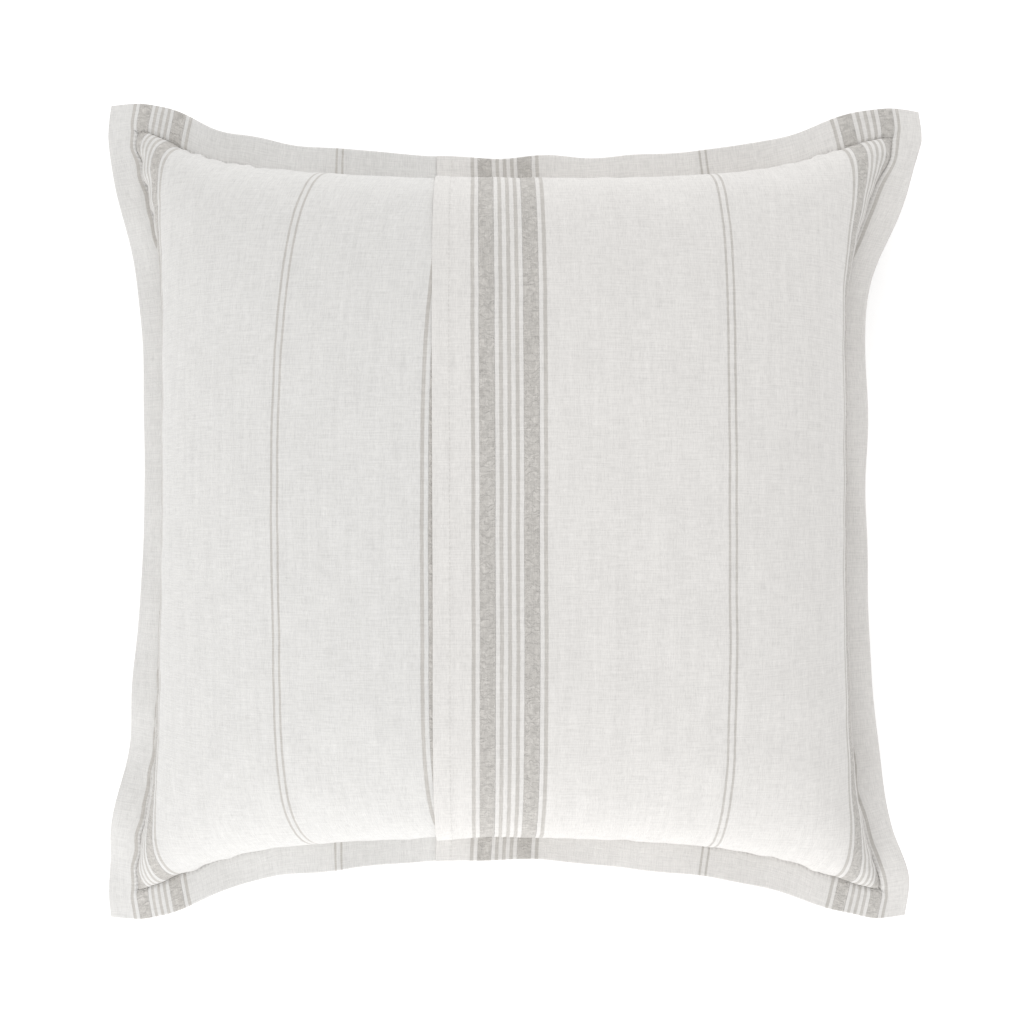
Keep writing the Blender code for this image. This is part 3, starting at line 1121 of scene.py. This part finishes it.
def crinkle_group() -> bpy.types.NodeTree:
    """Fine creases that run mostly across the stripes, as in cloth that shrank along them."""
    sheet, given, leave = new_group("crinkle", {"Cloth": "Vector", "Size": "Float"}, ["Height"])
    across, along = sheet.split(given["Cloth"])
    bend = sheet.noise(given["Cloth"], 160.0, 2.0)
    bend = sheet.math("MULTIPLY", sheet.math("SUBTRACT", bend, 0.5), 0.012)
    row = sheet.math("DIVIDE", sheet.math("ADD", along, bend), given["Size"])
    column = sheet.math("DIVIDE", sheet.math("MULTIPLY", across, 0.32), given["Size"])
    crease = sheet.noise(sheet.vector(column, row), 1.0, 3.0, 0.55)
    sheet.feed(leave.inputs["Height"], crease)
    return sheet.tree


def stitch_pull_group() -> bpy.types.NodeTree:
    """The small dents that a line of stitches pulls into the cloth on both sides of it."""
    sheet, given, leave = new_group("stitch pull", {"Seam": "Vector", "Pitch": "Float"}, ["Height"])
    run, out = sheet.split(given["Seam"])
    turns = sheet.math("MULTIPLY", sheet.math("DIVIDE", run, given["Pitch"]), 2 * math.pi)
    between = sheet.math("MULTIPLY_ADD", sheet.math("COSINE", turns), 0.5, 0.5)
    reach = sheet.math("DIVIDE", sheet.math("SUBTRACT", out, 0.0004), 0.0021)
    near = sheet.math("POWER", 2.718, sheet.math("MULTIPLY", sheet.math("MULTIPLY", reach, reach), -1.0))
    sheet.feed(leave.inputs["Height"], sheet.math("MULTIPLY", between, near))
    return sheet.tree


class Finishes:
    """The shared node groups, each built once."""

    def __init__(self) -> None:
        """Builds the groups."""
        self.stripes = StripeDraft().build()
        self.weave = weave_group()
        self.crinkle = crinkle_group()
        self.pull = stitch_pull_group()


def new_material(name: str) -> tuple[bpy.types.Material, NodeSheet, bpy.types.Node]:
    """Starts a material.

    Args:
        name: the finish's name.

    Returns:
        The material, its sheet and its Principled BSDF.
    """
    material = bpy.data.materials.new(name)
    material.use_nodes = True
    sheet = NodeSheet(material.node_tree)
    return material, sheet, material.node_tree.nodes["Principled BSDF"]


@dataclass(frozen=True)
class LinenFinish:
    """Matt striped linen."""

    name: str
    centre: float
    ground: tuple[float, float, float] = (0.775, 0.757, 0.735)
    stripe: tuple[float, float, float] = (0.566, 0.544, 0.514)
    pitch: float = 0.62 * MM
    crease: float = 1.7 * MM
    stitch_pitch: float = 3.6 * MM
    yarn_tone: float = 0.60
    cloudiness: float = 0.05
    # Painted shade in the dents that the stitches pull in.
    painted_dent_shade: float = 0.16
    # Painted light and shade on the fine creases: the extra on the wide bars, and the amount on all cloth.
    painted_crease_shade: tuple[float, float] = (0.75, 0.12)
    ruck_height: tuple[float, float] = (1.5, 0.25)
    weave_height: float = 0.07
    slub_height: float = 0.16
    stripe_depth: float = 0.12
    pull_depth: float = 0.55

    def build(self, shared: Finishes) -> bpy.types.Material:
        """Makes the material.

        Args:
            shared: the node groups it is made from.

        Returns:
            The material.
        """
        material, sheet, shader = new_material(self.name)
        cloth = sheet.add("ShaderNodeUVMap", uv_map="cloth").outputs[0]
        seam = sheet.add("ShaderNodeUVMap", uv_map="seam").outputs[0]
        stripes = sheet.group(shared.stripes, {"Cloth": cloth, "Centre": self.centre})
        weave = sheet.group(shared.weave, {"Cloth": cloth, "Pitch": self.pitch})
        crinkle = sheet.group(shared.crinkle, {"Cloth": cloth, "Size": self.crease})
        pull = sheet.group(shared.pull, {"Seam": seam, "Pitch": self.stitch_pitch})
        cloudy = sheet.noise(cloth, 55.0, 3.0)
        light = sheet.math("MULTIPLY_ADD", weave.outputs["Tone"], self.yarn_tone, 1 - self.yarn_tone / 2)
        cloud = sheet.math("MULTIPLY", sheet.math("SUBTRACT", cloudy, 0.5), self.cloudiness)
        light = sheet.math("ADD", light, cloud)
        # Painted shade: the colour is darker in the small dents that the stitches pull in along each seam.
        light = sheet.math("SUBTRACT", light, sheet.math("MULTIPLY", pull.outputs["Height"], self.painted_dent_shade))
        # Painted light and shade: the colour is lighter on the crests of the fine creases and darker in their
        # hollows, more so on the wide bars.
        painted_crease_shading = sheet.math("MULTIPLY", sheet.math("SUBTRACT", crinkle.outputs["Height"], 0.5),
                          sheet.math("MULTIPLY_ADD", stripes.outputs["Wide"], *self.painted_crease_shade))
        light = sheet.math("ADD", light, painted_crease_shading)
        woven = sheet.math("MULTIPLY_ADD", sheet.math("SUBTRACT", weave.outputs["Tone"], 0.5), -1.1, 1.0)
        woven = sheet.math("MULTIPLY", stripes.outputs["Stripe"], woven, clamp=True)
        plain = sheet.mix(woven, (*self.ground, 1.0), (*self.stripe, 1.0))
        colour = sheet.add("ShaderNodeVectorMath", {0: plain, 1: sheet.vector(light, light, light)},
                           operation="MULTIPLY").outputs[0]
        sheet.feed(shader.inputs["Base Color"], colour)
        rough = sheet.math("MULTIPLY_ADD", weave.outputs["Height"], -0.10, 0.92)
        sheet.feed(shader.inputs["Roughness"], rough)
        amount = sheet.math("MULTIPLY_ADD", stripes.outputs["Wide"], *self.ruck_height)
        height = sheet.math("MULTIPLY", crinkle.outputs["Height"], amount)
        for source, amount in ((weave.outputs["Height"], self.weave_height),
                               (weave.outputs["Slub"], self.slub_height),
                               (stripes.outputs["Stripe"], -self.stripe_depth),
                               (pull.outputs["Height"], -self.pull_depth)):
            height = sheet.math("ADD", height, sheet.math("MULTIPLY", source, amount))
        bump = sheet.add("ShaderNodeBump", {"Height": height, "Distance": 1.0 * MM, "Strength": 0.8})
        sheet.feed(shader.inputs["Normal"], bump.outputs[0])
        shader.inputs["Sheen Weight"].default_value = 0.12
        shader.inputs["Sheen Roughness"].default_value = 0.6
        shader.inputs["Specular IOR Level"].default_value = 0.25
        return material


@dataclass(frozen=True)
class YarnFinish:
    """Spun thread, loose fibre or close plain cotton: one colour, with a weave or twist at its own scale."""

    name: str
    colour: tuple[float, float, float]
    pitch: float
    depth: float
    roughness: float = 0.85

    def build(self, shared: Finishes) -> bpy.types.Material:
        """Makes the material.

        Args:
            shared: the node groups it is made from.

        Returns:
            The material.
        """
        material, sheet, shader = new_material(self.name)
        cloth = sheet.add("ShaderNodeUVMap", uv_map="cloth").outputs[0]
        weave = sheet.group(shared.weave, {"Cloth": cloth, "Pitch": self.pitch})
        darker = tuple(0.82 * part for part in self.colour)
        colour = sheet.mix(weave.outputs["Tone"], (*darker, 1.0), (*self.colour, 1.0))
        sheet.feed(shader.inputs["Base Color"], colour)
        rough = sheet.math("MULTIPLY_ADD", weave.outputs["Height"], -0.12, self.roughness)
        sheet.feed(shader.inputs["Roughness"], rough)
        bump = sheet.add("ShaderNodeBump", {"Height": weave.outputs["Height"], "Distance": self.depth,
                                            "Strength": 0.7})
        sheet.feed(shader.inputs["Normal"], bump.outputs[0])
        shader.inputs["Specular IOR Level"].default_value = 0.3
        return material


# --------------------------------------------------------------------------------------------------
# The cover
# --------------------------------------------------------------------------------------------------


def dress(piece: bpy.types.Object, material: bpy.types.Material, slot: str, *nodes: str) -> None:
    """Gives a piece its finish, and hides the solids it stands for."""
    piece.data.materials.append(material)
    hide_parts(*nodes)
    LOG.info("%s: %d faces", piece.name, len(piece.data.polygons))


@dataclass
class FlapBend:
    """How the over panel follows the flap: fully in the middle of its free edge, not at all at the seams."""

    still: float = 0.070
    lifted: float = 0.0
    full_to: float = 0.12
    none_from: float = 0.235

    def apply(self, piece: bpy.types.Object) -> None:
        """Bends a piece between the pillow and the flap.

        Args:
            piece: the piece that lies across both.
        """
        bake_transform(piece, "pillow", "flap", start=(self.still, 0, 0), end=(self.lifted, 0, 0))
        mesh = piece.data
        places = np.empty(len(mesh.vertices) * 3, np.float32)
        mesh.vertices.foreach_get("co", places)
        follows = np.empty(len(mesh.vertices), np.float32)
        attribute = mesh.attributes["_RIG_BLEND"]
        attribute.data.foreach_get("value", follows)
        along = np.abs(places.reshape(-1, 3)[:, 1])
        follows *= 1 - smooth((along - self.full_to) / (self.none_from - self.full_to))
        attribute.data.foreach_set("value", follows.astype(np.float32))


@dataclass
class Cover:
    """The linen cover: back panel, under panel, over panel with its lapped hem, and all their stitches."""

    form: PillowForm
    layers: Layers
    step: float = 1.85 * MM
    back_step: float = 2.6 * MM
    fold: float = 0.85 * MM
    stitch_out: float = 0.9 * MM
    back_seed: int = 11
    under_seed: int = 12
    over_seed: int = 13
    stitching: Stitching = field(default_factory=Stitching)
    hem_stitching: Stitching = field(default_factory=lambda: Stitching(thread=0.13 * MM, sink=0.16 * MM))
    bend: FlapBend = field(default_factory=FlapBend)

    def panel(self, side: Side, across: Array, along: Array, offset: Callable[[Array, Array], Array],
              seed: int) -> Array:
        """One face's points, stood off the form.

        Args:
            side: which face.
            across: places of the columns.
            along: places of the rows.
            offset: gives the distance off the form for places across and along.
            seed: which draw of unevenness.

        Returns:
            The points, never below the floor.
        """
        points, normals = self.form.surface(side, across, along)
        u, v = np.meshgrid(across, along)
        lift = offset(u, v) + self.layers.unevenness(u, v, seed)
        points = points + normals * lift[..., None]
        points[..., 2] = np.maximum(points[..., 2], 0)
        return points

    def build_back(self) -> bpy.types.Object:
        """The back panel, one piece of cloth from edge to edge."""
        cut = self.form.cut
        lines = thread_lines(cut, -cut.half, cut.half, self.back_step)
        points = self.panel(Side.BACK, lines, lines, self.layers.base, self.back_seed)
        u, v = np.meshgrid(lines, lines)
        return mesh_piece("linen_back_panel", [flat_patch(points, u, v, cut, turned=True)])

    def build_under(self) -> bpy.types.Object:
        """The under panel, which runs on beneath the over panel to its own hem."""
        cut = self.form.cut
        shown = thread_lines(cut, -cut.half, cut.hem + 4 * MM, self.step)
        hidden = np.linspace(cut.hem + 4 * MM, cut.under_hem, 24)[1:]
        across = np.concatenate([shown, hidden])
        along = thread_lines(cut, -cut.half, cut.half, self.step)

        def offset(u: Array, v: Array) -> Array:
            """The skin, pressed flat where the over panel lies on it."""
            beneath = smooth((u - cut.hem + 2 * MM) / (4 * MM))
            return self.layers.base(u, v) * (1 - 0.35 * beneath)

        points = self.panel(Side.FRONT, across, along, offset, self.under_seed)
        u, v = np.meshgrid(across, along)
        patch = flat_patch(points, u, v, cut)
        patch.cloth[..., 0] = cut.under_across(u, v, cut.drawn)
        return mesh_piece("linen_under_panel", [patch])

    def build_over(self) -> bpy.types.Object:
        """The over panel, with its free edge turned under in a rounded hem."""
        cut = self.form.cut
        along = thread_lines(cut, -cut.half, cut.half, self.step)
        width = self.layers.hem_width
        beneath = cut.hem + np.linspace(width, self.fold, 7)
        turns = np.linspace(-0.5 * math.pi, 0.5 * math.pi, 7)
        around = cut.hem + self.fold * (1 - np.cos(turns))
        top = thread_lines(cut, cut.hem + self.fold, cut.half, self.step)
        across = np.concatenate([beneath[:-1], around, top[1:]])
        height = np.concatenate([np.full(6, -1.0), np.sin(turns), np.full(len(top) - 1, 1.0)])
        points, normals = self.form.surface(Side.FRONT, np.sort(across), along)
        order = np.argsort(np.argsort(across, kind="stable"), kind="stable")
        points, normals = points[:, order], normals[:, order]
        u, v = np.meshgrid(across, along)
        skin = self.layers.over(u, v)
        floor = (self.layers.base(u, v) + 0.25 * MM) * self.layers.edge_round(u, v)
        lift = np.where(height > 0.999, skin, 0.5 * (skin + floor) + 0.5 * (skin - floor) * height)
        lift = lift + self.layers.unevenness(u, v, self.over_seed) + self.hem_wave(u, v)
        points = points + normals * lift[..., None]
        patch = flat_patch(points, u, v, cut)
        run = np.concatenate([[0], np.cumsum(np.abs(np.diff(across)))])
        fold_at = 6 + 3
        flat_u = across.copy()
        flat_u[:fold_at] = cut.hem - (run[fold_at] - run[:fold_at])
        patch.cloth[..., 0] = flat_u[None, :]
        return mesh_piece("linen_over_panel", [patch])

    def hem_wave(self, u: Array, v: Array) -> Array:
        """How far the free edge stands up, since it doesn't lie quite flat on the under panel.

        Args:
            u: places across the flat cloth.
            v: places along it.

        Returns:
            Heights in metres.
        """
        cut = self.form.cut
        near = np.exp(-np.maximum(u - cut.hem, 0) / (18 * MM))
        held = smooth((cut.seam - np.abs(v)) / (40 * MM))
        wave = 0.35 + 0.30 * np.sin(v * 21 + 0.7) + 0.22 * np.sin(v * 47 + 2.1)
        return np.maximum(wave, 0) * 0.8 * MM * near * held

    def front_skin(self, u: Array, v: Array) -> tuple[Array, Array]:
        """The front's outermost cloth.

        Args:
            u: places across the flat cloth.
            v: places along it.

        Returns:
            Points and normals.
        """
        points, normals = self.form.spots(Side.FRONT, u, v)
        over = self.layers.over(u, v) + self.layers.unevenness(u, v, self.over_seed)
        under = self.layers.base(u, v) + self.layers.unevenness(u, v, self.under_seed)
        lift = np.where(u > self.form.cut.hem, over, under)
        return points + normals * lift[:, None], normals

    def back_skin(self, u: Array, v: Array) -> tuple[Array, Array]:
        """Points and normals of the back's cloth."""
        points, normals = self.form.spots(Side.BACK, u, v)
        return points + normals * self.layers.base(u, v)[:, None], normals

    @staticmethod
    def square(reach: float) -> list[tuple[Array, Array]]:
        """The four straight runs of a line of stitches round the cover."""
        corners = np.array([[-1, -1], [1, -1], [1, 1], [-1, 1]], float) * reach
        return [(corners[i], corners[(i + 1) % 4]) for i in range(4)]

    def build_stitches(self) -> dict[str, bpy.types.Object]:
        """Every line of stitches on the cover, by what it is."""
        cut = self.form.cut
        sew = self.stitching
        line = self.square(cut.seam + self.stitch_out)
        hem_at = cut.hem + self.layers.hem_width - 2 * MM
        under_at = cut.under_hem - 10 * MM
        reach = cut.half - 3 * MM
        hem = [(np.array([hem_at, -reach]), np.array([hem_at, reach]))]
        under = [(np.array([under_at, -reach]), np.array([under_at, reach]))]

        def under_skin(u: Array, v: Array) -> tuple[Array, Array]:
            """The under panel's cloth beneath the over panel."""
            points, normals = self.form.spots(Side.FRONT, u, v)
            return points + normals * (0.4 * self.layers.base(u, v))[:, None], normals

        def hem_skin(u: Array, v: Array) -> tuple[Array, Array]:
            """The over panel's hem, as it waves."""
            points, normals = self.front_skin(u, v)
            return points + normals * self.hem_wave(u, v)[:, None], normals

        return {
            "front": sew.lay("thread_flange_front", line, self.front_skin),
            "back": sew.lay("thread_flange_back", line, self.back_skin),
            "edge": sew.lay("thread_edge_seam", self.square(cut.half - 1.6 * MM), self.form.middle),
            "hem": self.hem_stitching.lay("thread_over_hem", hem, hem_skin),
            "under": sew.lay("thread_under_hem", under, under_skin),
        }

    def build(self, shared: Finishes) -> None:
        """Builds, dresses and places every piece of the cover.

        Args:
            shared: the node groups for its finishes.
        """
        over_linen = LinenFinish("over_panel_linen", 0.0).build(shared)
        under_linen = LinenFinish("under_panel_linen", -0.2888, ground=(0.748, 0.739, 0.722)).build(shared)
        back_linen = LinenFinish("back_panel_linen", 0.021).build(shared)
        thread = YarnFinish("sewing_thread", (0.76, 0.745, 0.72), 0.25 * MM, 0.05 * MM).build(shared)
        back = self.build_back()
        under = self.build_under()
        over = self.build_over()
        dress(back, back_linen, "linen", "back_panel")
        dress(under, under_linen, "linen", "front_under_panel")
        dress(over, over_linen, "linen", "front_over_panel", "front_over_flap")
        stitches = self.build_stitches()
        for key, node in (("front", "flange_topstitch"), ("back", "flange_bobbin_stitch"),
                          ("edge", "edge_seam_stitch"), ("hem", "flap_hem_stitch"),
                          ("under", "under_hem_stitch")):
            dress(stitches[key], thread, "thread", node)
        for piece in (over, stitches["hem"]):
            self.bend.apply(piece)
        for piece in (back, under, stitches["front"], stitches["back"], stitches["edge"], stitches["under"]):
            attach(piece, "pillow")


# --------------------------------------------------------------------------------------------------
# The insert
# --------------------------------------------------------------------------------------------------


@dataclass
class Insert:
    """The plump insert inside the cover: a ticking case in two halves, its seam and the filling."""

    form: PillowForm
    rim: float = 0.985
    step: float = 5.5 * MM
    casing_depth: float = 3.0 * MM
    casing_share: float = 0.30
    casing_tuck: float = 0.975
    fill_depth: float = 4.5 * MM
    fill_share: float = 0.42
    fill_tuck: float = 0.965

    def halves(self, depth: float, share: float, tuck: float) -> tuple[Patch, Patch]:
        """Both faces of a closed form that lies inside the cover.

        Args:
            depth: how far in from the cover, in metres.
            share: the most of the cover's thickness that this may take up.
            tuck: the share of the cover's width that the form takes up.

        Returns:
            The upper and the lower face, which share their rim.
        """
        cut = self.form.cut
        reach = cut.seam * self.rim
        lines = np.linspace(-reach, reach, round(2 * reach / self.step) + 1)
        front = self.form.surface(Side.FRONT, lines, lines)[0]
        back = self.form.surface(Side.BACK, lines, lines)[0]
        apart = front - back
        thick = np.linalg.norm(apart, axis=-1, keepdims=True) + 1e-9
        inset = np.minimum(depth, share * thick) / thick
        middle = 0.5 * (front + back)
        upper, lower = middle + apart * (0.5 - inset), middle - apart * (0.5 - inset)
        for edge in (np.s_[0], np.s_[-1], np.s_[:, 0], np.s_[:, -1]):
            upper[edge] = middle[edge]
            lower[edge] = middle[edge]
        upper[..., :2] *= tuck
        lower[..., :2] *= tuck
        u, v = np.meshgrid(lines, lines)
        return flat_patch(upper, u, v, cut), flat_patch(lower, u, v, cut, turned=True)

    def seam_place(self, u: Array, v: Array) -> tuple[Array, Array]:
        """Points and normals on the ticking's rim."""
        points, normals = self.form.middle(u, v)
        points[..., :2] *= self.casing_tuck
        return points, normals

    def build(self, shared: Finishes) -> None:
        """Builds, dresses and places the insert's pieces.

        Args:
            shared: the node groups for its finishes.
        """
        ticking = YarnFinish("white_ticking", (0.84, 0.83, 0.80), 0.32 * MM, 0.06 * MM).build(shared)
        fibre = YarnFinish("fibre_filling", (0.88, 0.87, 0.85), 2.6 * MM, 0.9 * MM, 0.95).build(shared)
        thread = YarnFinish("ticking_thread", (0.80, 0.79, 0.77), 0.25 * MM, 0.05 * MM).build(shared)
        upper, lower = self.halves(self.casing_depth, self.casing_share, self.casing_tuck)
        top = mesh_piece("ticking_top", [upper])
        bottom = mesh_piece("ticking_bottom", [lower])
        fibres = self.halves(self.fill_depth, self.fill_share, self.fill_tuck)
        fill = mesh_piece("fibre_fill", list(fibres), weld=True)
        reach = self.form.cut.seam * (self.rim - 0.004)
        seam = Stitching(thread=0.15 * MM).lay("thread_ticking_seam", Cover.square(reach), self.seam_place)
        dress(top, ticking, "ticking", "insert_casing_top")
        dress(bottom, ticking, "ticking", "insert_casing_bottom")
        dress(fill, fibre, "filling", "insert_fill")
        dress(seam, thread, "thread", "insert_seam_stitch")
        for piece in (top, bottom, fill, seam):
            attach(piece, "pillow")


@dataclass
class CareLabel:
    """A blank folded ribbon sewn inside the cover."""

    form: PillowForm
    width: float = 34 * MM
    length: float = 46 * MM
    depth: float = 1.5 * MM

    def build(self, shared: Finishes) -> None:
        """Builds, dresses and places the label between the back panel and the insert.

        Args:
            shared: the node groups for its finish.
        """
        cut = self.form.cut
        across = np.linspace(-cut.seam + 2 * MM, -cut.seam + 2 * MM + self.length, 24)
        along = np.linspace(-self.width / 2, self.width / 2, 14) - 0.06
        points, normals = self.form.surface(Side.BACK, across, along)
        u, v = np.meshgrid(across, along)
        rise = smooth((u + cut.seam - 2 * MM) / (12 * MM))
        outer = points - normals * (self.depth * rise)[..., None]
        inner = points - normals * ((self.depth + 0.35 * MM) * rise)[..., None]
        patches = [flat_patch(outer, u, v, cut, turned=True), flat_patch(inner, u, v, cut)]
        label = mesh_piece("ribbon_label", patches, weld=True)
        ribbon = YarnFinish("satin_ribbon", (0.86, 0.86, 0.85), 0.28 * MM, 0.04 * MM, 0.5).build(shared)
        dress(label, ribbon, "label", "care_label")
        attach(label, "pillow")


# --------------------------------------------------------------------------------------------------
# The studio
# --------------------------------------------------------------------------------------------------


@dataclass
class Studio:
    """A plain pale floor, soft light mostly from the front, and the camera straight above."""

    floor_span: float = 9.0
    floor_colour: tuple[float, float, float] = (0.93, 0.93, 0.93)
    camera_height: float = 1.128
    lens: float = 47.85
    sky: float = 0.785
    key_power: float = 27.5
    fill_power: float = 15.5

    def build(self) -> None:
        """Makes the floor, the lights and the camera."""
        self.make_floor()
        self.make_lights()
        self.make_camera()

    def make_floor(self) -> None:
        """A wide pale sheet just under the pillow."""
        half = self.floor_span / 2
        mesh = bpy.data.meshes.new("studio_floor")
        corners = [(-half, -half, 0), (half, -half, 0), (half, half, 0), (-half, half, 0)]
        mesh.from_pydata(corners, [], [(0, 1, 2, 3)])
        floor = bpy.data.objects.new("studio_floor", mesh)
        floor.location.z = -0.4 * MM
        bpy.context.scene.collection.objects.link(floor)
        material, sheet, shader = new_material("pale_floor")
        place = sheet.add("ShaderNodeTexCoord").outputs["Object"]
        rough = sheet.math("MULTIPLY_ADD", sheet.noise(place, 30.0), 0.1, 0.85)
        sheet.feed(shader.inputs["Roughness"], rough)
        shader.inputs["Base Color"].default_value = (*self.floor_colour, 1.0)
        shader.inputs["Specular IOR Level"].default_value = 0.1
        shader.inputs["Emission Color"].default_value = (1, 1, 1, 1)
        shader.inputs["Emission Strength"].default_value = 0.3
        mesh.materials.append(material)

    def make_lights(self) -> None:
        """Even light from all round, and one large soft lamp low in front."""
        scene = bpy.context.scene
        world = bpy.data.worlds.new("studio_air")
        world.use_nodes = True
        background = world.node_tree.nodes["Background"]
        background.inputs["Color"].default_value = (1.0, 1.0, 1.0, 1.0)
        background.inputs["Strength"].default_value = self.sky
        scene.world = world
        for name, place, size, power in (("key", (-0.8, -2.3, 1.1), 1.3, self.key_power),
                                         ("fill", (0.1, 2.3, 1.7), 1.8, self.fill_power)):
            lamp = bpy.data.lights.new(f"studio_{name}", "AREA")
            lamp.size = size
            lamp.energy = power
            light = bpy.data.objects.new(f"studio_{name}", lamp)
            light.location = place
            way = Vector((0, 0, 0.08)) - Vector(place)
            light.rotation_euler = way.to_track_quat("-Z", "Y").to_euler()
            scene.collection.objects.link(light)

    def make_camera(self) -> None:
        """A camera straight above the pillow's middle."""
        scene = bpy.context.scene
        data = bpy.data.cameras.new("studio_camera")
        data.lens = self.lens
        data.sensor_width = 36.0
        camera = bpy.data.objects.new("studio_camera", data)
        camera.location = (0, 0, self.camera_height)
        scene.collection.objects.link(camera)
        scene.camera = camera
        scene.view_settings.view_transform = "Standard"


def main() -> None:
    """Builds the pillow and the studio, in order."""
    logging.basicConfig(level=logging.INFO, format="%(name)s: %(message)s")
    cut = ClothCut()
    width = CAD_BOX[1][0] - CAD_BOX[0][0]
    form = PillowForm(cut, Filling(), width)
    shared = Finishes()
    Cover(form, Layers(cut)).build(shared)
    Insert(form).build(shared)
    CareLabel(form).build(shared)
    Studio().build()


if __name__ == "__main__":
    main()
